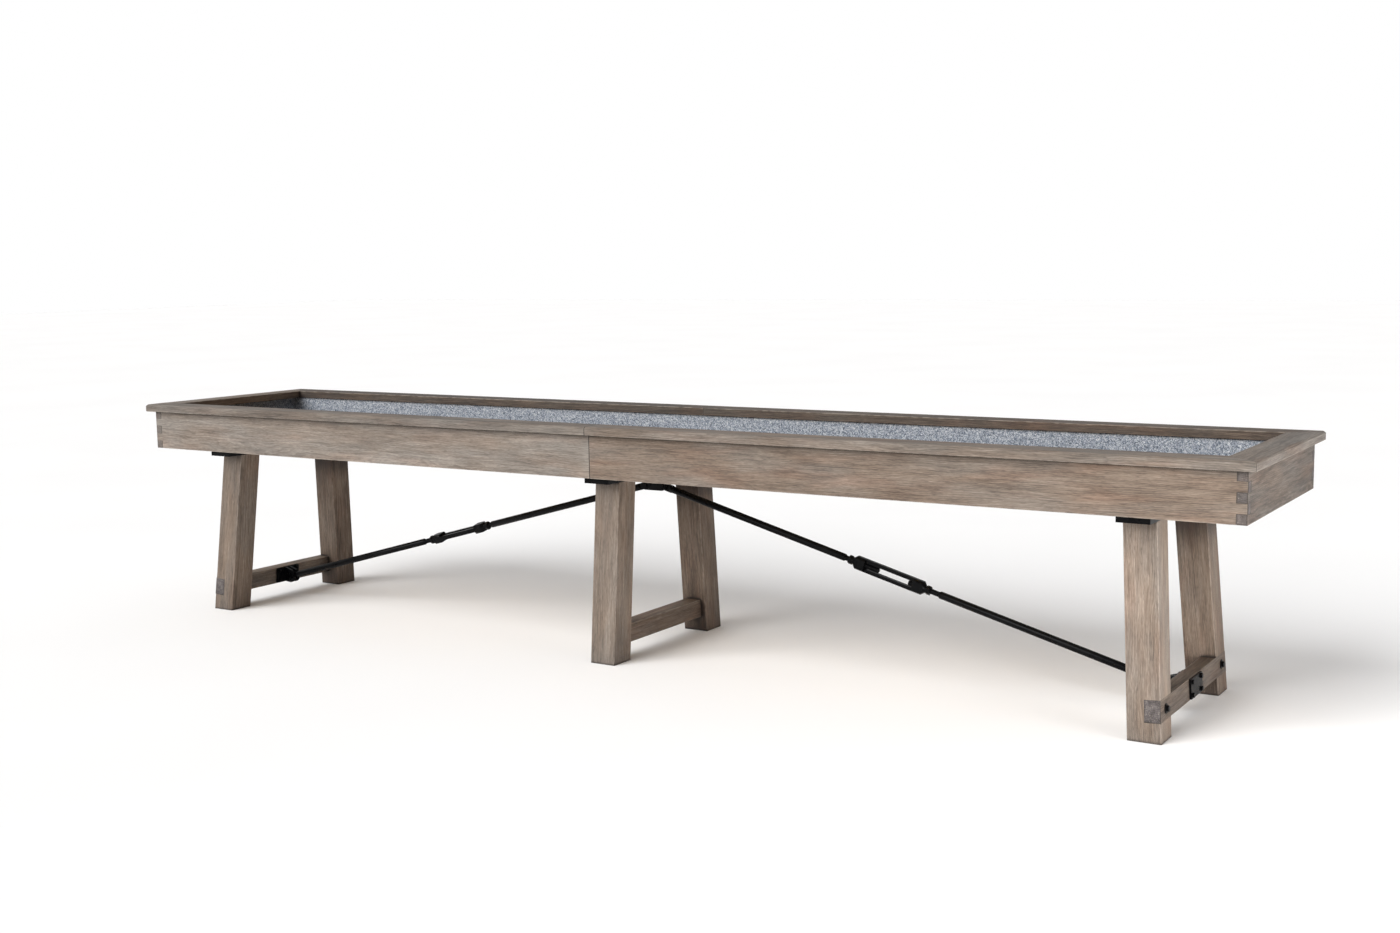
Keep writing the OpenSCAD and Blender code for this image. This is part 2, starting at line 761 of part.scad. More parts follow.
module lag_screws() {
    color("#8d9196") {
        four_corners(centre_screw_x, centre_screw_y)
            translate([0, 0, leg_top - centre_base_t]) mirror([0, 0, 1])
                hex_bolt(plate_bolt_d, centre_screw_l, hex_m8, hex_m8_t);
        at_bracket_screws() {
            translate([0, 0, -wood_screw_head_t]) cylinder(d = 2 * wood_screw_d, h = wood_screw_head_t);
            cylinder(d = wood_screw_d, h = bracket_t + wood_screw_in);
        }
    }
}

// Hanger bolts from the legs up through plate and joist, and bolts across the cabinet's seam
module cabinet_bolts() {
    nut_z = joist_top - nut_pocket_t;
    color("#a8abae") {
        for (sx = [left, middle, right]) translate([sx * end_frame_x, 0, 0])
            four_corners(frame_bolt_x, leg_top_y) {
                translate([0, 0, leg_top - frame_bolt_deep])
                    cylinder(d = frame_bolt_d, h = nut_z - leg_top + frame_bolt_deep + 9);
                translate([0, 0, nut_z]) hex_prism(hex_m10, hex_m10_t);
            }
        for (y = seam_bolt_ys) translate([plate_w / 2, y, seam_bolt_z]) rotate([0, 90, 0]) {
            hex_bolt(frame_bolt_d, plate_w + 10, hex_m10, hex_m10_t);
            translate([0, 0, -plate_w - hex_m10_t]) hex_prism(hex_m10, hex_m10_t);
        }
    }
}

apron_long(left, front);  // apron_front_left
apron_long(right, front);  // apron_front_right
apron_long(left, back);  // apron_back_left
apron_long(right, back);  // apron_back_right
apron_end(left);  // apron_end_left
apron_end(right);  // apron_end_right
cap_long(left, front);  // cap_front_left
cap_long(right, front);  // cap_front_right
cap_long(left, back);  // cap_back_left
cap_long(right, back);  // cap_back_right
cap_end(left);  // cap_end_left
cap_end(right);  // cap_end_right
playfield();
playfield_blocks();
cross_joists();
gutter_boards(left);  // gutter_boards_left
gutter_boards(right);  // gutter_boards_right
carpet(left);  // carpet_left
carpet(right);  // carpet_right
leg(left, front);  // leg_front_left
leg(left, back);  // leg_back_left
leg(middle, front);  // leg_front_middle
leg(middle, back);  // leg_back_middle
leg(right, front);  // leg_front_right
leg(right, back);  // leg_back_right
end_stretcher(left);  // stretcher_left
stretcher_middle();
end_stretcher(right);  // stretcher_right
leg_plate(left);  // leg_plate_left
leg_plate(middle);  // leg_plate_middle
leg_plate(right);  // leg_plate_right
leveler(left, front);  // leveler_front_left
leveler(left, back);  // leveler_back_left
leveler(middle, front);  // leveler_front_middle
leveler(middle, back);  // leveler_back_middle
leveler(right, front);  // leveler_front_right
leveler(right, back);  // leveler_back_right
leveler_inserts();
centre_bracket();
clevis(left);  // clevis_left
clevis(right);  // clevis_right
back_plate(left);  // back_plate_left
back_plate(right);  // back_plate_right
clevis_pins();
rod_upper(left);  // rod_upper_left
rod_lower(left);  // rod_lower_left
rod_upper(right);  // rod_upper_right
rod_lower(right);  // rod_lower_right
turnbuckle(left, 76);  // turnbuckle_left
turnbuckle(right, 0);  // turnbuckle_right
jam_nuts();
adjuster_screw(adjuster_xs[0]);  // adjuster_screw_1
adjuster_screw(adjuster_xs[1]);  // adjuster_screw_2
adjuster_screw(adjuster_xs[2]);  // adjuster_screw_3
adjuster_screw(adjuster_xs[3]);  // adjuster_screw_4
adjuster_brackets();
lap_bolts();
bracket_bolts();
lag_screws();
cabinet_bolts();
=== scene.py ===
"""Shuffleboard table: materials, carpet, threads, play marks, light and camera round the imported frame.

Metres, in the part's own frame: X along the table, Y across it with the front at -Y, Z up from the floor.
"""

import json
import math
import random

import bmesh
import bpy
from mathutils import Matrix, Vector


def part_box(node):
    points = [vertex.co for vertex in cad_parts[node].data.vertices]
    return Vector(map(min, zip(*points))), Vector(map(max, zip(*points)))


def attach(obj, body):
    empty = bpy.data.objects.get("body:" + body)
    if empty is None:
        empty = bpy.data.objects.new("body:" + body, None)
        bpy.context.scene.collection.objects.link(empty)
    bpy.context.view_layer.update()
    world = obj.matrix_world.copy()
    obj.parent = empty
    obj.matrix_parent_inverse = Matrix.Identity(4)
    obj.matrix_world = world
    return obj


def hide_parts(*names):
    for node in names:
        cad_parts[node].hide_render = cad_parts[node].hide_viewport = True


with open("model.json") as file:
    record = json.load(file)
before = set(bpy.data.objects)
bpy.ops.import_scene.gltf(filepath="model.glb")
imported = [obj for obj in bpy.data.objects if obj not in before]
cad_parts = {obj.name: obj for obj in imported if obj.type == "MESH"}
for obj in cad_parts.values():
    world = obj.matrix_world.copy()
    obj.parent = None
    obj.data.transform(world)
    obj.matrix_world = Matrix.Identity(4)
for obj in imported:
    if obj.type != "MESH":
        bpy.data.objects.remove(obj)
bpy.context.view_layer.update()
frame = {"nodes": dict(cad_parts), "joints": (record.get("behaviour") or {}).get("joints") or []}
nodes = frame["nodes"]

MM = 0.001
X_AXIS = Vector((1, 0, 0))
Y_AXIS = Vector((0, 1, 0))
Z_AXIS = Vector((0, 0, 1))

# Camera: angles in radians, lens in millimetres
CAMERA_AT = Vector((3.1665, -4.7113, 1.3464))
CAMERA_YAW = 0.5645
CAMERA_PITCH = -0.1263
CAMERA_ROLL = -0.0154
CAMERA_LENS = 42.35

# Carpet: its mesh, its thickness, the bend at the foot of the wall, and where its strips end
PILE_STEP = 4 * MM
PILE_HEIGHT = 1.6 * MM
BACKING = 2.6 * MM
CARPET_RADIUS = 7 * MM
ARC_STEPS = 4
CARPET_GAP = 0.1 * MM
GUTTER_REACH = 225 * MM
END_TUCK = 15 * MM
TUFT_SWIRL = (12 * MM, 12 * MM, 12 * MM)

# Threads, the studs that carry them, and how far their CAD corners may be off the stud's radius
THREAD_PITCH = 2.5 * MM
THREAD_DEPTH = 1.0 * MM
THREAD_SIDES = 24
THREAD_STEPS = 6
TIP_CHAMFER = 2.5 * MM
ROD_STUD_RADIUS = 9 * MM
ROD_STUD_REACH = 250 * MM
SCREW_RADIUS = 6 * MM
SCREW_PLAIN = 45 * MM
LEVELER_STUD_RADIUS = 6 * MM
LEVELER_PLAIN = 1 * MM
RADIUS_SLACK = 0.05 * MM

# Marks on the playfield. The places of the lines are measured from its ends
FOUL_LINE = 1830 * MM
ZONE_LINES = (152 * MM, 305 * MM)
LINE_WIDTH = 4 * MM
MARK_RISE = 0.15 * MM
LINE_MARGIN = 3 * MM
DIGIT_HEIGHT = 70 * MM

# Legs and eased edges
LEG_SIDE = 97 * MM
OAK_EDGE = 1.1 * MM
FORGED_EDGE = 2.2 * MM

# Studio: light levels, the colour of the dim side, and half the floor's length
AMBIENT = 0.60
BACKDROP = 1.0
WHITE = (1, 1, 1, 1)
DIM_SIDE = (0.14, 0.08, 0.05, 1)
FLOOR_REACH = 40


# ---- node trees

OPENNESS_SAMPLES = 6


class Shader:
    """A material's node tree, built by short calls. Each call returns the socket with its result."""

    def __init__(self, name):
        self.material = bpy.data.materials.new(name)
        self.material.use_nodes = True
        self.tree = self.material.node_tree
        self.tree.nodes.clear()
        self.coordinates = self.node("ShaderNodeTexCoord")
        self.at = self.coordinates.outputs["Object"]

    def node(self, kind, inputs=None, **settings):
        made = self.tree.nodes.new(kind)
        for key, value in settings.items():
            setattr(made, key, value)
        for key, value in (inputs or {}).items():
            if isinstance(value, bpy.types.NodeSocket):
                self.tree.links.new(value, made.inputs[key])
            else:
                made.inputs[key].default_value = value
        return made

    def math(self, operation, a, b=0.0, c=0.0):
        return self.node("ShaderNodeMath", {0: a, 1: b, 2: c}, operation=operation).outputs[0]

    def vector(self, operation, a, b):
        return self.node("ShaderNodeVectorMath", {0: a, 1: b}, operation=operation).outputs[0]

    def split(self, vector):
        return self.node("ShaderNodeSeparateXYZ", {0: vector}).outputs

    def noise(self, at, scale, detail=2.0, roughness=0.5):
        inputs = {"Vector": at, "Scale": scale, "Detail": detail, "Roughness": roughness}
        return self.node("ShaderNodeTexNoise", inputs).outputs[0]

    def swirl(self, at, scale, amount):
        """Shifts of up to half of amount each way, from the colour of a noise."""
        inputs = {"Vector": at, "Scale": scale, "Detail": 2.0}
        cloud = self.node("ShaderNodeTexNoise", inputs).outputs["Color"]
        return self.vector("MULTIPLY", self.vector("SUBTRACT", cloud, (0.5, 0.5, 0.5)), amount)

    def openness(self, reach):
        """How open the surface lies to its surroundings within reach, 0 to 1."""
        inputs = {"Distance": reach}
        return self.node("ShaderNodeAmbientOcclusion", inputs, samples=OPENNESS_SAMPLES).outputs["AO"]

    def streaks(self, at, along, across, detail):
        """Noise drawn out along the board: features of 1 / along by 1 / across metres."""
        return self.noise(self.vector("MULTIPLY", at, (along, across, across)), 1.0, detail)

    def remap(self, value, low, high, to_low=0.0, to_high=1.0):
        inputs = {0: value, 1: low, 2: high, 3: to_low, 4: to_high}
        return self.node("ShaderNodeMapRange", inputs, interpolation_type="SMOOTHSTEP").outputs[0]

    def mix(self, factor, a, b, blend="MIX"):
        inputs = {0: factor, 6: a, 7: b}
        return self.node("ShaderNodeMix", inputs, data_type="RGBA", blend_type=blend).outputs[2]

    def ramp(self, value, stops):
        made = self.node("ShaderNodeValToRGB", {0: value})
        points = made.color_ramp.elements
        while len(points) < len(stops):
            points.new(0.5)
        for point, (place, colour) in zip(points, stops):
            point.position = place
            point.color = (*colour, 1)
        return made.outputs[0]

    def bump(self, height, distance, strength):
        inputs = {"Height": height, "Distance": distance, "Strength": strength}
        return self.node("ShaderNodeBump", inputs).outputs[0]

    def finish(self, colour, roughness, normal=None, **fixed):
        """Joins the results to a Principled shader. fixed holds values that are the same all over."""
        inputs = {"Base Color": colour, "Roughness": roughness}
        if normal is not None:
            inputs["Normal"] = normal
        inputs.update({key.replace("_", " "): value for key, value in fixed.items()})
        shader = self.node("ShaderNodeBsdfPrincipled", inputs)
        self.node("ShaderNodeOutputMaterial", {"Surface": shader.outputs[0]})
        return self.material


# ---- wood

class Board:
    """A board's own frame: along the grain, across it and through it, with its centre and half sizes."""

    def __init__(self, node, along, up=Z_AXIS):
        across = up.cross(along).normalized()
        through = along.cross(across).normalized()
        self.along = along.normalized()
        self.turn = Matrix((self.along, across, through)).transposed()
        inside = [self.turn.transposed() @ v.co for v in node.data.vertices]
        low = Vector([min(p[i] for p in inside) for i in range(3)])
        high = Vector([max(p[i] for p in inside) for i in range(3)])
        self.half = (high - low) / 2
        self.centre = self.turn @ ((low + high) / 2)


OAK_STOPS = [
    (0.00, (0.036, 0.024, 0.017)),
    (0.25, (0.090, 0.063, 0.045)),
    (0.50, (0.172, 0.127, 0.094)),
    (0.75, (0.255, 0.197, 0.152)),
    (1.00, (0.375, 0.310, 0.255)),
]
OAK_GREY = (0.190, 0.180, 0.164, 1)
OAK_RUST = (0.230, 0.120, 0.075, 1)
# Dark wax in pores, joints and seams, and painted shade in narrow inside corners
OAK_WAX_AND_SHADE = (0.030, 0.023, 0.018, 1)
OAK_RUBBED = (0.380, 0.325, 0.275, 1)
# Colour multiplied in for painted shade in sheltered corners and at the top of a back leg
OAK_PAINTED_SHADE = (0.22, 0.18, 0.165, 1)
RING_PITCH = 5 * MM
OAK_BEND = (0.0, 12 * MM, 12 * MM)
WORN_END = 50 * MM
JOINT_REACH = 10 * MM
SHELTER_REACH = 350 * MM

# Lines along an edge: how far from it they have faded out, and where they are full
RUBBED_LINE = (4.0 * MM, 0.5 * MM)
END_GRAIN_OUTLINE = (5.0 * MM, 2.5 * MM)
SEAM_LINE = (2.6 * MM, 1.2 * MM)


def growth_rings(s, moved, own, pick):
    """Late wood of the growth rings, 0 to 1, round a pith that wanders below or above the board."""
    x, y, z = s.split(own)
    pith_y = pick.uniform(-0.05, 0.05)
    pith_z = pick.choice((-1, 1)) * pick.uniform(0.05, 0.10)
    slope = pick.choice((-1, 1)) * pick.uniform(0.008, 0.020)
    wander = s.streaks(moved, 2.2, 10.0, 3.0)
    from_y = s.math("MULTIPLY_ADD", wander, 0.07, s.math("SUBTRACT", y, pith_y + 0.035))
    from_z = s.math("MULTIPLY_ADD", x, slope, s.math("SUBTRACT", z, pith_z))
    square = s.math("ADD", s.math("MULTIPLY", from_y, from_y), s.math("MULTIPLY", from_z, from_z))
    uneven = s.streaks(moved, 6.0, 40.0, 2.0)
    count = s.math("MULTIPLY_ADD", uneven, 2.5, s.math("DIVIDE", s.math("SQRT", square), RING_PITCH))
    ring = s.math("FRACT", count)
    return s.math("SUBTRACT", s.remap(ring, 0.30, 0.85), s.remap(ring, 0.90, 1.0))


def nearest_edge(s, board, own):
    """Distance from a point on the board's surface to its nearest edge: the middle one of three gaps."""
    gaps = [s.math("SUBTRACT", half, s.math("ABSOLUTE", p)) for half, p in zip(board.half, s.split(own))]
    least = s.math("MINIMUM", gaps[0], s.math("MINIMUM", gaps[1], gaps[2]))
    most = s.math("MAXIMUM", gaps[0], s.math("MAXIMUM", gaps[1], gaps[2]))
    total = s.math("ADD", gaps[0], s.math("ADD", gaps[1], gaps[2]))
    return s.math("SUBTRACT", s.math("SUBTRACT", total, least), most)


def oak(name, board, seed, light, grey, rust, seam, end_contrast, shadow):
    """Weathered oak with growth rings, streaks, pores, grey and rust-brown blotches and a little wear.

    seam is how dark the line along the board's two ends is, and end_contrast how far its end grain stands
    out. shadow is None, or where the shade painted at the board's upper end has faded out and where it is
    full, both measured from that end. It is part of the colour, so it shows in any light.
    """
    s = Shader(name)
    pick = random.Random(seed)
    inputs = {"Vector": s.at, "Location": board.centre, "Rotation": board.turn.to_euler()}
    own = s.node("ShaderNodeMapping", inputs, vector_type="TEXTURE").outputs[0]
    offset = Vector([pick.uniform(-40, 40) for _ in range(3)])
    moved = s.vector("ADD", own, offset)

    # The grain is not straight: it bends sideways by some millimetres
    stretched = s.vector("MULTIPLY", moved, (3.0, 8.0, 8.0))
    bent = s.vector("ADD", moved, s.swirl(stretched, 1.0, OAK_BEND))
    late = growth_rings(s, bent, own, pick)

    # Streaks of three sizes, and dark pores that gather in the early wood
    broad = s.streaks(bent, 3.0, 20.0, 3.0)
    band = s.streaks(bent, 11.0, 170.0, 4.0)
    fibre = s.streaks(bent, 60.0, 700.0, 2.0)
    pores = s.remap(s.streaks(bent, 45.0, 900.0, 1.0), 0.56, 0.66)
    pores = s.math("MULTIPLY", pores, s.math("SUBTRACT", 1.0, s.math("MULTIPLY", late, 0.8)))
    tone = 0.5 + light
    for layer, strength in ((broad, 0.55), (band, 0.70), (fibre, 0.50)):
        tone = s.math("MULTIPLY_ADD", layer, strength, s.math("SUBTRACT", tone, strength / 2))
    tone = s.math("MULTIPLY_ADD", late, -0.14, s.math("ADD", tone, 0.05))
    colour = s.ramp(tone, OAK_STOPS)

    # Blotches: a grey wash, stronger near the board's ends, and rust-brown stain
    shade = s.ramp(tone, [(0.0, (0.25, 0.25, 0.25)), (0.5, (0.95, 0.95, 0.95)), (1.0, (2.0, 2.0, 2.0))])
    end_far = s.math("SUBTRACT", board.half.x, s.math("ABSOLUTE", s.split(own)[0]))
    worn_end = s.remap(end_far, 0.0, WORN_END, 0.12, 0.0)
    patches = s.remap(s.streaks(moved, 3.0, 13.0, 3.0), 0.34, 0.66, grey - 0.18, grey + 0.18)
    wash = s.math("ADD", patches, worn_end)
    colour = s.mix(wash, colour, s.mix(1.0, OAK_GREY, shade, "MULTIPLY"))
    elsewhere = s.vector("ADD", moved, (9.0, 5.0, 3.0))
    stain = s.remap(s.streaks(elsewhere, 3.5, 20.0, 3.0), 0.46, 0.72, 0.0, rust)
    colour = s.mix(stain, colour, s.mix(1.0, OAK_RUST, shade, "MULTIPLY"))

    # End grain: darker and greyer, with the rings as faint arcs and small light specks
    facing = s.node("ShaderNodeVectorMath", {0: s.coordinates.outputs["Normal"], 1: board.along},
                    operation="DOT_PRODUCT").outputs["Value"]
    end_grain = s.remap(s.math("ABSOLUTE", facing), 0.6, 0.85, 0.0, end_contrast)
    mottle = s.math("MULTIPLY_ADD", late, -0.12, s.noise(moved, 55.0, 3.0, 0.6))
    end_colour = s.ramp(mottle, [(0.25, (0.036, 0.030, 0.029)), (0.45, (0.076, 0.064, 0.062)),
                                 (0.65, (0.132, 0.115, 0.110))])
    specks = s.remap(s.noise(moved, 300.0, 2.0), 0.60, 0.72, 0.0, 0.6)
    end_colour = s.mix(specks, end_colour, OAK_RUBBED)
    colour = s.mix(end_grain, colour, end_colour)

    # Edges rubbed lighter here and there; a dark outline, pores and end seams filled with wax; joints and
    # narrow inside corners darkened, partly as wax in the joints and partly as painted shade
    openness = s.openness(JOINT_REACH)
    worn = s.remap(s.noise(moved, 35.0, 2.0), 0.4, 0.6, 0.1, 0.5)
    worn = s.math("MULTIPLY", worn, s.remap(openness, 0.85, 0.97))
    edge_far = nearest_edge(s, board, own)
    side_grain = s.math("SUBTRACT", 1.0, end_grain)
    rubbed = s.math("MULTIPLY", s.remap(edge_far, *RUBBED_LINE), s.math("MULTIPLY", worn, side_grain))
    colour = s.mix(rubbed, colour, OAK_RUBBED)
    outline = s.math("MULTIPLY", s.remap(edge_far, *END_GRAIN_OUTLINE, 0.0, 0.92), end_grain)
    colour = s.mix(outline, colour, OAK_WAX_AND_SHADE)
    colour = s.mix(s.math("MULTIPLY", pores, 0.45), colour, OAK_WAX_AND_SHADE)
    # Joints and narrow inside corners within JOINT_REACH darkened: wax in the joints, painted shade in the
    # corners such as the line under the cap rail
    colour = s.mix(s.remap(openness, 0.95, 0.62, 0.0, 0.95), colour, OAK_WAX_AND_SHADE)
    end_line = s.math("MULTIPLY", s.remap(end_far, *SEAM_LINE, 0.0, seam), side_grain)
    colour = s.mix(end_line, colour, OAK_WAX_AND_SHADE)

    # Shade painted into sheltered corners and the top of a back leg, where the lights leave too little
    painted_shade = s.remap(s.openness(SHELTER_REACH), 0.66, 0.25)
    if shadow:
        top_far = s.math("SUBTRACT", board.half.x, s.split(own)[0])
        painted_shade = s.math("MAXIMUM", painted_shade, s.remap(top_far, *shadow))
    colour = s.mix(painted_shade, colour, s.mix(1.0, colour, OAK_PAINTED_SHADE, "MULTIPLY"))

    relief = s.math("MULTIPLY_ADD", pores, -0.7, s.math("MULTIPLY_ADD", late, 0.25, fibre))
    roughness = s.math("MULTIPLY_ADD", fibre, 0.30, 0.45)
    return s.finish(colour, roughness, s.bump(relief, 0.5 * MM, 0.5), Specular_IOR_Level=0.35)


def maple(name):
    """Laminated maple strips, each with its own tone, under a thick clear coat."""
    s = Shader(name)
    strip_width = 38 * MM
    strip_length = 1.15
    x, y, z = s.split(s.at)
    strip = s.math("FLOOR", s.math("DIVIDE", y, strip_width))
    shift = s.node("ShaderNodeTexWhiteNoise", {"W": strip}, noise_dimensions="1D").outputs["Value"]
    piece = s.math("FLOOR", s.math("MULTIPLY_ADD", shift, 7.0, s.math("DIVIDE", x, strip_length)))
    cell = s.node("ShaderNodeCombineXYZ", {0: strip, 1: piece, 2: 0.0}).outputs[0]
    lot = s.node("ShaderNodeTexWhiteNoise", {"Vector": cell}, noise_dimensions="3D").outputs["Value"]
    moved = s.vector("ADD", s.at, s.vector("MULTIPLY", cell, (3.7, 0.0, 1.9)))
    grain = s.streaks(moved, 5.0, 130.0, 3.0)
    fine = s.streaks(moved, 30.0, 900.0, 1.0)
    tone = s.math("MULTIPLY_ADD", lot, 0.55, s.math("MULTIPLY_ADD", grain, 0.55, -0.15))
    tone = s.math("MULTIPLY_ADD", fine, 0.25, tone)
    colour = s.ramp(tone, [(0.0, (0.34, 0.20, 0.095)), (0.4, (0.56, 0.37, 0.19)), (1.0, (0.78, 0.60, 0.36))])
    across = s.math("ABSOLUTE", s.math("SUBTRACT", s.math("FRACT", s.math("DIVIDE", y, strip_width)), 0.5))
    glue = s.remap(across, 0.485, 0.5)
    colour = s.mix(s.math("MULTIPLY", glue, 0.5), colour, (0.20, 0.11, 0.05, 1))
    roughness = s.math("MULTIPLY_ADD", fine, 0.12, 0.3)
    return s.finish(colour, roughness, s.bump(grain, 0.05 * MM, 0.3), Coat_Weight=1.0, Coat_Roughness=0.05)


def timber(name):
    """Plain unfinished softwood and plywood of the hidden cradle."""
    s = Shader(name)
    swirl = s.streaks(s.vector("MULTIPLY", s.at, (12.0, 1.0, 6.0)), 1.0, 1.0, 3.0)
    rings = s.math("PINGPONG", s.math("MULTIPLY", swirl, 9.0), 1.0)
    fibre = s.noise(s.vector("MULTIPLY", s.at, (500.0, 14.0, 260.0)), 1.0, 2.0)
    tone = s.math("MULTIPLY_ADD", rings, 0.35, s.math("MULTIPLY", fibre, 0.7))
    colour = s.ramp(tone, [(0.0, (0.33, 0.22, 0.12)), (0.5, (0.52, 0.39, 0.24)), (1.0, (0.68, 0.55, 0.38))])
    return s.finish(colour, s.math("MULTIPLY_ADD", fibre, 0.2, 0.6), s.bump(fibre, 0.25 * MM, 0.5))


# ---- carpet, metal and plastic

def wool(name):
    """Short speckled pile: fine light and dark fibres over a slate grey ground."""
    s = Shader(name)
    at = s.vector("ADD", s.at, s.swirl(s.at, 130.0, TUFT_SWIRL))
    tuft = s.node("ShaderNodeTexVoronoi", {"Vector": at, "Scale": 330.0}, feature="F1").outputs
    pick, other, _ = s.node("ShaderNodeSeparateColor", {0: tuft["Color"]}).outputs
    fibre = s.noise(at, 420.0, 2.0, 0.6)
    clump = s.noise(s.at, 70.0, 3.0, 0.6)
    tone = s.math("MULTIPLY_ADD", clump, 0.20, s.math("MULTIPLY_ADD", pick, 0.45, -0.08))
    tone = s.math("MULTIPLY_ADD", fibre, 1.10, s.math("SUBTRACT", tone, 0.30))
    colour = s.ramp(tone, [
        (0.20, (0.045, 0.053, 0.068)),
        (0.40, (0.160, 0.180, 0.212)),
        (0.52, (0.285, 0.307, 0.342)),
        (0.66, (0.450, 0.470, 0.500)),
        (0.85, (0.740, 0.745, 0.750)),
    ])
    colour = s.mix(s.math("MULTIPLY", other, 0.25), colour, (0.200, 0.265, 0.370, 1))
    height = s.math("MULTIPLY_ADD", tuft["Distance"], -0.8, fibre)
    return s.finish(colour, 0.95, s.bump(height, 0.9 * MM, 0.6), Sheen_Weight=0.2, Specular_IOR_Level=0.1)


def powder_coat(name):
    """Satin black powder coat with a fine orange peel, a little less even in places."""
    s = Shader(name)
    peel = s.noise(s.at, 700.0, 2.0)
    smear = s.noise(s.at, 22.0, 3.0)
    colour = s.ramp(smear, [(0.3, (0.0015, 0.0015, 0.0018)), (0.7, (0.005, 0.005, 0.0055))])
    roughness = s.math("MULTIPLY_ADD", smear, 0.20, 0.18)
    return s.finish(colour, roughness, s.bump(peel, 0.12 * MM, 0.35), Specular_IOR_Level=0.07)


def zinc(name):
    """Bright zinc plating with faint spangle and a warm cast in places."""
    s = Shader(name)
    spangle = s.node("ShaderNodeTexVoronoi", {"Vector": s.at, "Scale": 420.0}).outputs["Distance"]
    cloud = s.noise(s.at, 60.0, 3.0)
    colour = s.ramp(cloud, [(0.35, (0.50, 0.51, 0.53)), (0.65, (0.66, 0.64, 0.60))])
    roughness = s.math("MULTIPLY_ADD", cloud, 0.3, s.math("MULTIPLY_ADD", spangle, 0.15, 0.15))
    return s.finish(colour, roughness, s.bump(spangle, 0.05 * MM, 0.3), Metallic=1.0)


def nylon(name):
    """Moulded black nylon with a fine matt texture."""
    s = Shader(name)
    grain = s.noise(s.at, 1500.0, 1.0)
    scuff = s.noise(s.at, 80.0, 3.0)
    colour = s.ramp(scuff, [(0.35, (0.020, 0.020, 0.021)), (0.75, (0.055, 0.053, 0.050))])
    return s.finish(colour, s.math("MULTIPLY_ADD", scuff, 0.3, 0.4), s.bump(grain, 0.1 * MM, 0.5))


def ink(name, colour):
    """Screen-printed mark under the clear coat, a little thin in places."""
    s = Shader(name)
    thin = s.noise(s.at, 400.0, 2.0)
    darker = tuple(0.75 * c for c in colour)
    tint = s.ramp(thin, [(0.4, darker), (0.6, colour)])
    return s.finish(tint, s.math("MULTIPLY_ADD", thin, 0.1, 0.25), Coat_Weight=1.0, Coat_Roughness=0.05)


# ---- mesh helpers

def add_piece(name, mesh, material, body="table"):
    """Puts a finished mesh in the scene as a piece that rides on a body."""
    piece = bpy.data.objects.new(name, mesh)
    bpy.context.scene.collection.objects.link(piece)
    mesh.materials.clear()
    mesh.materials.append(material)
    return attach(piece, body)


def ease_edges(node, width):
    """Rounds a CAD node's sharp edges in the render: its split corners are joined first."""
    weld = node.modifiers.new("weld", "WELD")
    weld.merge_threshold = 0.01 * MM
    flat = node.modifiers.new("flat", "DECIMATE")
    flat.decimate_type = "DISSOLVE"
    flat.angle_limit = math.radians(0.5)
    bevel = node.modifiers.new("ease", "BEVEL")
    bevel.width = width
    bevel.segments = 2
    bevel.limit_method = "ANGLE"
    bevel.angle_limit = math.radians(32)
    bevel.harden_normals = False


def paint(node, material):
    """Gives a CAD node this one material."""
    node.data.materials.clear()
    node.data.materials.append(material)


# ---- carpet

def carpet_profile(wall_height, floor_width):
    """The carpet's section as points (distance from the wall, height), from the wall's top down and in."""
    points = []
    steps = round((wall_height - CARPET_RADIUS) / PILE_STEP)
    for i in range(steps):
        points.append((0.0, wall_height - (wall_height - CARPET_RADIUS) * i / steps))
    for i in range(ARC_STEPS):
        a = math.radians(90 * i / ARC_STEPS)
        points.append((CARPET_RADIUS * (1 - math.cos(a)), CARPET_RADIUS * (1 - math.sin(a))))
    steps = round((floor_width - CARPET_RADIUS) / PILE_STEP)
    for i in range(steps + 1):
        points.append((CARPET_RADIUS + (floor_width - CARPET_RADIUS) * i / steps, 0.0))
    return points


def shell(name, backing, pile, faces):
    """Closed mesh between a backing and a pile that share their faces, with a rim round the open border."""
    count = len(backing)
    # A dict, since it keeps the edges in order
    used = dict.fromkeys((a, b) for face in faces for a, b in zip(face, face[1:] + face[:1]))
    rim = [(b, a, a + count, b + count) for a, b in used if (b, a) not in used]
    under = [tuple(reversed(face)) for face in faces]
    over = [tuple(i + count for i in face) for face in faces]
    mesh = bpy.data.meshes.new(name)
    mesh.from_pydata(backing + pile, [], under + over + rim)
    mesh.polygons.foreach_set("use_smooth", [True] * len(mesh.polygons))
    return mesh


def carpet_strip(name, start, end, inward, top, floor_z, floor_width, inset=0.0):
    """Carpet down one wall and over its gutter. inset keeps the gutter part this far from both ends."""
    pick = random.Random(name)
    length = (end - start).length
    along = (end - start).normalized()
    columns = round(length / PILE_STEP)
    profile = carpet_profile(top - floor_z, floor_width)
    backing = []
    pile = []
    for i in range(columns + 1):
        for j, (away, height) in enumerate(profile):
            before = Vector(profile[max(j - 1, 0)])
            after = Vector(profile[min(j + 1, len(profile) - 1)])
            run = (after - before).normalized()
            normal = inward * -run.y + Z_AXIS * run.x
            place = start + along * (length * i / columns) + inward * away + Z_AXIS * (floor_z + height)
            border = i in (0, columns) or j in (0, len(profile) - 1)
            lift = BACKING + (0.0 if border else pick.uniform(0.0, PILE_HEIGHT))
            backing.append(place)
            pile.append(place + normal * lift)
    rows = len(profile)
    wall_rows = sum(1 for away, _ in profile if away < CARPET_RADIUS)
    keep_from = inset / length * columns
    faces = []
    for i in range(columns):
        for j in range(rows - 1):
            if j >= wall_rows and not keep_from <= i + 0.5 <= columns - keep_from:
                continue
            a = i * rows + j
            faces.append((a, a + 1, a + rows + 1, a + rows))
    return shell(name, backing, pile, faces)


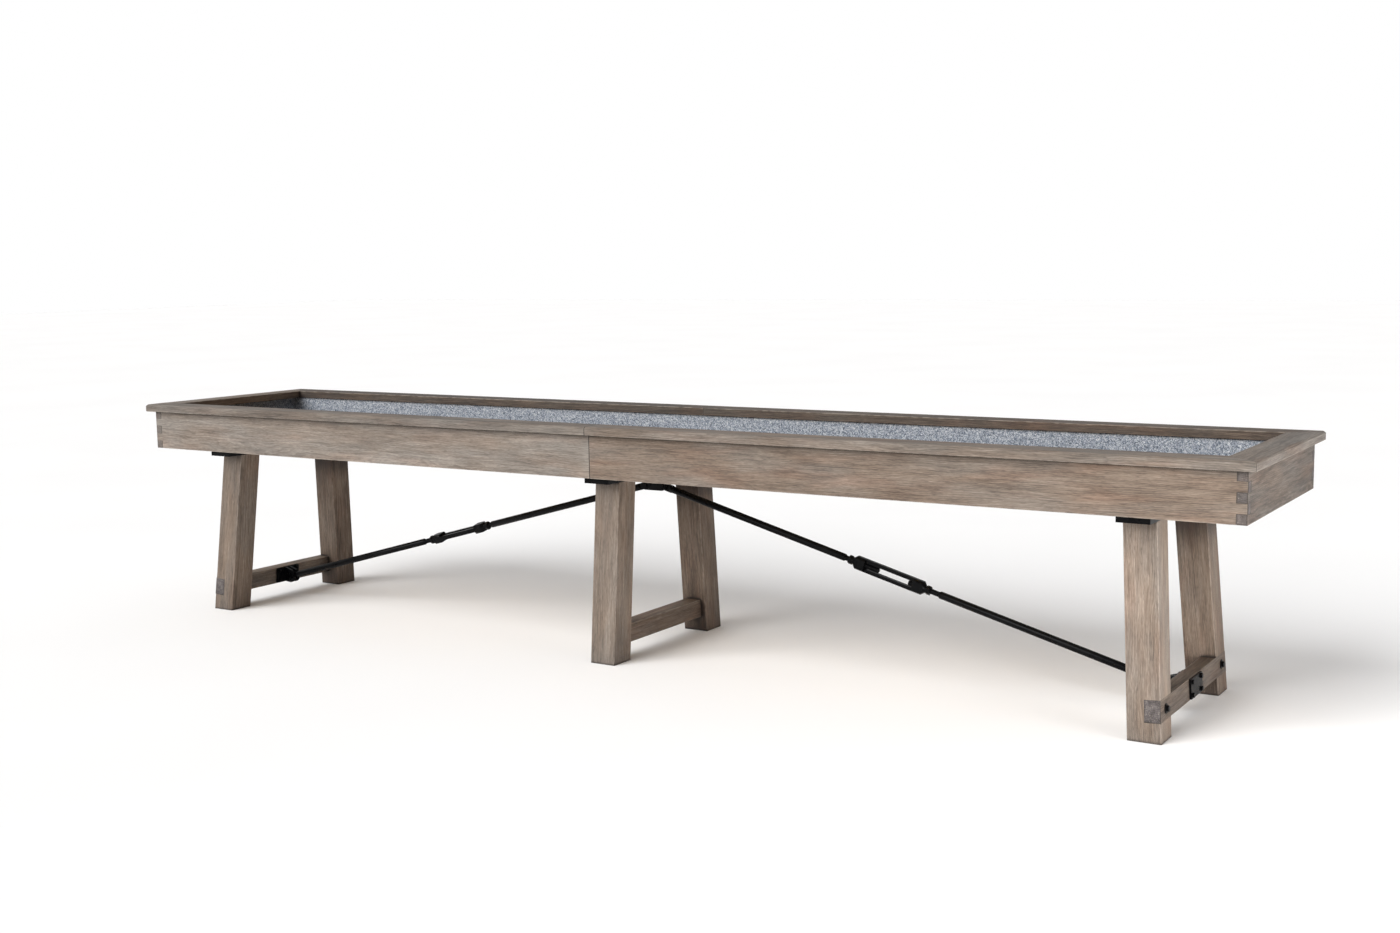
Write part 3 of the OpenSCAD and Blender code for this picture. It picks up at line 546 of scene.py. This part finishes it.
def make_carpets():
    """Three strips in each half of the cabinet: along the front, along the back, and across the end.

    The long ones reach in under the playfield to GUTTER_REACH from the table's middle line, and the end ones
    END_TUCK under the playfield's end. All stand CARPET_GAP off the boards.
    """
    material = wool("grey_wool_pile")
    for side, sign in (("left", -1), ("right", 1)):
        low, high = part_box("carpet_" + side)
        wall_y = high.y
        wall_x = max(abs(low.x), abs(high.x))
        face_y = wall_y - CARPET_GAP
        face_x = wall_x - CARPET_GAP
        floor_z = low.z + CARPET_GAP
        top = high.z - CARPET_GAP
        tall = top - floor_z
        strips = []
        for row, facing in (("front", 1), ("back", -1)):
            name = f"carpet_{row}_{side}"
            start = Vector((0, -facing * face_y, 0))
            end = Vector((sign * face_x, -facing * face_y, 0))
            if sign * facing < 0:
                start, end = end, start
            mesh = carpet_strip(name, start, end, Y_AXIS * facing, top, floor_z, face_y - GUTTER_REACH)
            strips.append((name, mesh, (tall + wall_y - GUTTER_REACH, wall_x), None))
        half = wall_y - (BACKING + PILE_HEIGHT + CARPET_GAP)
        start = Vector((sign * face_x, sign * half, 0))
        end = Vector((sign * face_x, -sign * half, 0))
        floor_width = wall_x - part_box("playfield")[1].x + END_TUCK
        inset = half - GUTTER_REACH
        name = f"carpet_end_{side}"
        mesh = carpet_strip(name, start, end, X_AXIS * -sign, top, floor_z, floor_width, inset)
        flat = (tall + floor_width, 2 * half)
        area = 2 * half * tall + 2 * GUTTER_REACH * floor_width
        strips.append((name, mesh, flat, area))
        for i, (name, mesh, flat, area) in enumerate(strips):
            piece = add_piece(name, mesh, material)
            if i == 0:
                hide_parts("carpet_" + side)


# ---- threads

def thread(bm, start, axis, length, radius, hand):
    """Adds a closed threaded stud to bm, from start along axis, with a chamfered free end."""
    count = round(length / THREAD_PITCH * THREAD_STEPS)
    side = axis.orthogonal().normalized()
    other = axis.cross(side)
    rings = []
    for i in range(count + 1):
        along = length * i / count
        left_over = length - along
        ring = []
        for k in range(THREAD_SIDES):
            turn = k / THREAD_SIDES
            phase = (along / THREAD_PITCH - hand * turn) % 1
            depth = THREAD_DEPTH * (1 - abs(2 * phase - 1))
            r = min(radius - depth, radius - TIP_CHAMFER + left_over)
            angle = 2 * math.pi * turn
            spoke = side * math.cos(angle) + other * math.sin(angle)
            ring.append(bm.verts.new(start + axis * along + spoke * r))
        rings.append(ring)
    for low, high in zip(rings, rings[1:]):
        for k in range(THREAD_SIDES):
            n = (k + 1) % THREAD_SIDES
            bm.faces.new((low[k], low[n], high[n], high[k])).smooth = True
    bm.faces.new(list(reversed(rings[0])))
    bm.faces.new(rings[-1])


def threaded_copy(name, node, origin, axis, studs):
    """Mesh of an eased CAD node with its plain studs cut off and threaded ones in their place.

    origin and axis give the studs' centre line. Each stud is (from, to, radius, hand), along that line.
    """
    graph = bpy.context.evaluated_depsgraph_get()
    mesh = bpy.data.meshes.new_from_object(nodes[node].evaluated_get(graph))
    mesh.name = name
    bm = bmesh.new()
    bm.from_mesh(mesh)
    for begin, end, _, _ in studs:
        towards = axis if end > begin else -axis
        parts = bm.verts[:] + bm.edges[:] + bm.faces[:]
        cut = bmesh.ops.bisect_plane(bm, geom=parts, plane_co=origin + axis * begin, plane_no=towards,
                                     clear_outer=True, dist=0.001 * MM)
        border = [e for e in cut["geom_cut"] if isinstance(e, bmesh.types.BMEdge)]
        bmesh.ops.holes_fill(bm, edges=border)
    overlap = 1 * MM
    for begin, end, radius, hand in studs:
        towards = axis if end > begin else -axis
        start = origin + axis * begin - towards * overlap
        thread(bm, start, towards, abs(end - begin) + overlap, radius, hand)
    bm.to_mesh(mesh)
    bm.free()
    return mesh


def ends_on_line(node, origin, axis, radius, reach=1.0):
    """First and last place on the line, within reach of origin, where the node has corners at this radius."""
    found = []
    for v in nodes[node].data.vertices:
        along = (v.co - origin).dot(axis)
        away = (v.co - origin - axis * along).length
        if abs(along) < reach and abs(away - radius) < RADIUS_SLACK:
            found.append(along)
    return min(found), max(found)


def joint_line(name):
    """A point on a joint's axis, and the axis."""
    joint = next(j for j in frame["joints"] if j["name"] == name)
    return Vector(joint["pos_m"]), Vector(joint["axis"]).normalized()


def add_threaded(node, material, body, origin, axis, studs):
    """Shows a CAD node by its threaded copy."""
    name = node + "_threaded"
    piece = add_piece(name, threaded_copy(name, node, origin, axis, studs), material, body)
    piece.data.set_sharp_from_angle(angle=math.radians(40))
    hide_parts(node)


def make_threads(finishes):
    """Real threads on the rods' studs, the adjuster screws and the levelers."""
    steel, bright, pad = (finishes[slot] for slot in ("black_steel", "zinc_steel", "leveler_pad"))
    for side in ("left", "right"):
        origin, axis = joint_line(f"turnbuckle_{side}_turn")
        for level, hand in (("lower", 1), ("upper", -1)):
            node = f"rod_{level}_{side}"
            low, high = ends_on_line(node, origin, axis, ROD_STUD_RADIUS, ROD_STUD_REACH)
            begin, end = (low, high) if level == "lower" else (high, low)
            studs = [(begin, end, ROD_STUD_RADIUS, hand)]
            add_threaded(node, steel, "table", origin, axis, studs)
    for node in sorted(name for name in nodes if name.startswith("adjuster_screw_")):
        origin, axis = joint_line(node + "_turn")
        low, high = ends_on_line(node, origin, axis, SCREW_RADIUS)
        studs = [(SCREW_PLAIN, high, SCREW_RADIUS, 1), (-SCREW_PLAIN, low, SCREW_RADIUS, -1)]
        add_threaded(node, bright, node, origin, axis, studs)
    for row in ("front", "back"):
        for place in ("left", "middle", "right"):
            node = f"leveler_{row}_{place}"
            low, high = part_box(node)
            origin = Vector(((low.x + high.x) / 2, (low.y + high.y) / 2, 0))
            begin, end = ends_on_line(node, origin, Z_AXIS, LEVELER_STUD_RADIUS)
            studs = [(begin + LEVELER_PLAIN, end, LEVELER_STUD_RADIUS, 1)]
            add_threaded(node, pad, node, origin, Z_AXIS, studs)


# ---- marks on the playfield

def digit_mesh(name, digit, spin, place):
    """A digit as a thin raised mark: built as text, turned into a mesh."""
    curve = bpy.data.curves.new(name, "FONT")
    curve.body = digit
    curve.size = DIGIT_HEIGHT
    curve.align_x = "CENTER"
    curve.align_y = "CENTER"
    curve.extrude = MARK_RISE
    text = bpy.data.objects.new(name, curve)
    bpy.context.scene.collection.objects.link(text)
    bpy.context.view_layer.update()
    mesh = bpy.data.meshes.new_from_object(text.evaluated_get(bpy.context.evaluated_depsgraph_get()))
    bpy.data.objects.remove(text)
    mesh.name = name
    mesh.transform(Matrix.Translation(place) @ Matrix.Rotation(spin, 4, "Z"))
    return mesh


def make_marks():
    """Score lines and the digits of the scoring zones, at both ends."""
    black = ink("mark_black", (0.03, 0.028, 0.026))
    low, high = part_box("playfield")
    length = high.y - low.y - 2 * LINE_MARGIN
    bm = bmesh.new()
    for sign in (-1, 1):
        for away in (*ZONE_LINES, FOUL_LINE):
            x = sign * (high.x - away)
            size = (LINE_WIDTH, length, 2 * MARK_RISE)
            place = Matrix.Translation((x, 0, high.z)) @ Matrix.Diagonal((*size, 1))
            bmesh.ops.create_cube(bm, size=1, matrix=place)
    mesh = bpy.data.meshes.new("score_lines")
    bm.to_mesh(mesh)
    bm.free()
    add_piece("score_lines", mesh, black)
    middles = (ZONE_LINES[0] / 2, sum(ZONE_LINES) / 2, ZONE_LINES[1] + (ZONE_LINES[1] - ZONE_LINES[0]) / 2)
    for side, sign in (("left", -1), ("right", 1)):
        for digit, away in zip("321", middles):
            place = Vector((sign * (high.x - away), 0, high.z))
            name = f"score_digit_{digit}_{side}"
            mesh = digit_mesh(name, digit, sign * math.radians(-90), place)
            add_piece(name, mesh, black)


# ---- finishing the CAD nodes

def leg_axis(name):
    """Direction of a leg, from the middle of its foot up to the middle of its top."""
    _, row, pair = name.split("_")
    low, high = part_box(name)
    foot_low, foot_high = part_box(f"leveler_{row}_{pair}")
    plate_low, plate_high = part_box("leg_plate_" + pair)
    side = high.x - low.x if pair == "middle" else LEG_SIDE
    foot = (foot_low + foot_high) / 2
    inner = low.y if row == "back" else high.y
    sign = 1 if row == "back" else -1
    top = Vector(((plate_low.x + plate_high.x) / 2, inner + sign * side / 2, plate_low.z))
    return top - Vector((foot.x, foot.y, 0))


def oak_board(name):
    """The grain direction of each oak piece, as a Board."""
    node = nodes[name]
    if name.startswith("leg_"):
        return Board(node, leg_axis(name), up=X_AXIS)
    across_table = name.startswith("stretcher_") or "_end_" in name
    return Board(node, Y_AXIS if across_table else X_AXIS)


# Lighter or darker than the usual tone, how grey, and how much rust-brown stain. Most tones differ at random
# from board to board; the darker tones of the back cap rails, the right end apron, the right end stretcher
# and the back legs are partly painted shade.
USUAL_OAK = (-0.03, 0.35, 0.20)
OAK_TONES_AND_SHADE = {
    "apron_front_left": (0.06, 0.42, 0.14),
    "apron_front_right": (-0.04, 0.12, 0.27),
    "apron_back_left": (0.0, 0.35, 0.20),
    "apron_back_right": (0.0, 0.20, 0.30),
    "apron_end_right": (-0.27, 0.35, 0.25),
    "apron_end_left": (-0.04, 0.40, 0.25),
    "cap_front_left": (-0.11, 0.45, 0.15),
    "cap_front_right": (-0.05, 0.30, 0.20),
    "cap_back_left": (-0.36, 0.20, 0.25),
    "cap_back_right": (-0.30, 0.20, 0.30),
    "cap_end_right": (-0.07, 0.50, 0.14),
    "stretcher_middle": (-0.10, 0.10, 0.30),
    "stretcher_right": (-0.21, 0.30, 0.25),
    "leg_front_right": (0.09, 0.15, 0.18),
    "leg_back_right": (-0.05, 0.0, 0.25),
    "leg_front_middle": (0.0, 0.25, 0.15),
    "leg_back_middle": (-0.14, 0.05, 0.25),
    "leg_front_left": (-0.06, 0.12, 0.22),
    "leg_back_left": (-0.13, 0.0, 0.30),
}


# How far the end grain stands out, where it is paler than usual
END_CONTRAST = {"apron_end_left": 0.4, "apron_end_right": 0.65}

# Shade painted at the top of a back leg: how far down it has faded out, and where it is full
LEG_SHADOW = (185 * MM, 70 * MM)

# The boards that are in two halves, and how dark the seam between these is
HALVED = ("apron_front", "apron_back", "cap_front", "cap_back")
SEAM_DARKNESS = 0.85


def finish_oak(name, seed):
    """Oak for one piece, cut from its own place in the wood."""
    light, grey, rust = OAK_TONES_AND_SHADE.get(name, USUAL_OAK)
    seam = SEAM_DARKNESS if name.startswith(HALVED) else 0.0
    shadow = LEG_SHADOW if name.startswith("leg_back") else None
    end_contrast = END_CONTRAST.get(name, 1.0)
    board = oak_board(name)
    paint(nodes[name], oak("oak_" + name, board, seed, light, grey, rust, seam, end_contrast, shadow))
    ease_edges(nodes[name], OAK_EDGE)


def finish_cad_nodes():
    """Materials and eased edges for all CAD nodes but the carpet. Returns the plain materials by slot."""
    plain = {
        "maple_board": (maple("maple_strips"), 0.8 * MM),
        "cradle_ply": (timber("cradle_timber"), 0.6 * MM),
        "black_steel": (powder_coat("black_powder_coat"), 0.7 * MM),
        "zinc_steel": (zinc("zinc_plate"), 0.4 * MM),
        "leveler_pad": (nylon("black_nylon"), 0.6 * MM),
    }
    for seed, name in enumerate(sorted(nodes)):
        node = nodes[name]
        slot = node.material_slots[0].material.name.split(".")[0]
        if slot == "aged_oak":
            finish_oak(name, seed)
        elif slot in plain:
            material, width = plain[slot]
            paint(node, material)
            ease_edges(node, FORGED_EDGE if name.startswith("turnbuckle") else width)
    return {slot: material for slot, (material, _) in plain.items()}


# ---- studio

def make_camera():
    """The main view: from the right of the front, half a metre above the cap rail."""
    data = bpy.data.cameras.new("camera")
    data.lens = CAMERA_LENS
    data.sensor_width = 36
    data.clip_end = 100
    camera = bpy.data.objects.new("camera", data)
    bpy.context.scene.collection.objects.link(camera)
    level = Matrix.Rotation(CAMERA_YAW, 4, "Z") @ Matrix.Rotation(math.pi / 2 + CAMERA_PITCH, 4, "X")
    camera.matrix_world = Matrix.Translation(CAMERA_AT) @ level @ Matrix.Rotation(CAMERA_ROLL, 4, "Z")
    bpy.context.scene.camera = camera


def make_floor():
    """A large plain floor, nearly white."""
    s = Shader("studio_floor")
    shade = s.noise(s.at, 0.7, 2.0)
    colour = s.ramp(shade, [(0.3, (0.93, 0.93, 0.93)), (0.7, (0.95, 0.95, 0.95))])
    material = s.finish(colour, 0.9, Specular_IOR_Level=0.1)
    mesh = bpy.data.meshes.new("floor")
    corners = [(x * FLOOR_REACH, y * FLOOR_REACH, 0) for x, y in ((-1, -1), (1, -1), (1, 1), (-1, 1))]
    mesh.from_pydata(corners, [], [(0, 1, 2, 3)])
    floor = bpy.data.objects.new("floor", mesh)
    bpy.context.scene.collection.objects.link(floor)
    mesh.materials.append(material)


def area_light(name, place, target, size, power):
    """Soft rectangular light at a place, aimed at a target."""
    data = bpy.data.lights.new(name, "AREA")
    data.shape = "RECTANGLE"
    data.size, data.size_y = size
    data.energy = power
    light = bpy.data.objects.new(name, data)
    bpy.context.scene.collection.objects.link(light)
    light.location = place
    light.rotation_euler = (Vector(target) - Vector(place)).to_track_quat("-Z", "Y").to_euler()


def side_tint(tree):
    """Colour of the surroundings by direction: white, and DIM_SIDE towards +X."""
    direction = tree.nodes.new("ShaderNodeTexCoord").outputs["Generated"]
    split = tree.nodes.new("ShaderNodeSeparateXYZ")
    tree.links.new(direction, split.inputs[0])
    tint = tree.nodes.new("ShaderNodeValToRGB")
    tint.color_ramp.elements[0].color = WHITE
    tint.color_ramp.elements[1].color = DIM_SIDE
    tree.links.new(split.outputs["X"], tint.inputs[0])
    return tint.outputs[0]


def make_world():
    """White surroundings, dimmer and warmer on the +X side, with a brighter level seen behind the floor."""
    world = bpy.data.worlds.new("studio")
    bpy.context.scene.world = world
    world.use_nodes = True
    tree = world.node_tree
    tree.nodes.clear()
    path = tree.nodes.new("ShaderNodeLightPath")
    mix = tree.nodes.new("ShaderNodeMixShader")
    output = tree.nodes.new("ShaderNodeOutputWorld")
    tree.links.new(path.outputs["Is Camera Ray"], mix.inputs[0])
    surroundings = tree.nodes.new("ShaderNodeBackground")
    surroundings.inputs["Strength"].default_value = AMBIENT
    tree.links.new(side_tint(tree), surroundings.inputs["Color"])
    backdrop = tree.nodes.new("ShaderNodeBackground")
    backdrop.inputs["Strength"].default_value = BACKDROP
    backdrop.inputs["Color"].default_value = WHITE
    tree.links.new(surroundings.outputs[0], mix.inputs[1])
    tree.links.new(backdrop.outputs[0], mix.inputs[2])
    tree.links.new(mix.outputs[0], output.inputs[0])


def sun_light(name, azimuth, elevation, level, spread):
    """Soft far light. azimuth is where it comes from, round from the front towards +X. Angles in degrees."""
    data = bpy.data.lights.new(name, "SUN")
    data.energy = level
    data.angle = math.radians(spread)
    light = bpy.data.objects.new(name, data)
    bpy.context.scene.collection.objects.link(light)
    a, e = math.radians(azimuth), math.radians(elevation)
    source = Vector((math.sin(a) * math.cos(e), -math.cos(a) * math.cos(e), math.sin(e)))
    light.rotation_euler = source.to_track_quat("Z", "Y").to_euler()


def make_light():
    """White surroundings, a key light from the front left, a low front fill, and one for the right end."""
    make_world()
    sun_light("key", azimuth=-25, elevation=36, level=2.85, spread=45)
    sun_light("front_fill", azimuth=-8, elevation=10, level=0.85, spread=60)
    area_light("end_fill", place=(3.8, -0.9, 0.28), target=(1.9, -0.2, 0.20), size=(1.2, 0.5), power=50)


def make_studio():
    """Camera, floor and light, seen without any film look."""
    bpy.context.scene.view_settings.view_transform = "Standard"
    make_camera()
    make_floor()
    make_light()


make_studio()
finishes = finish_cad_nodes()
make_threads(finishes)
make_carpets()
make_marks()
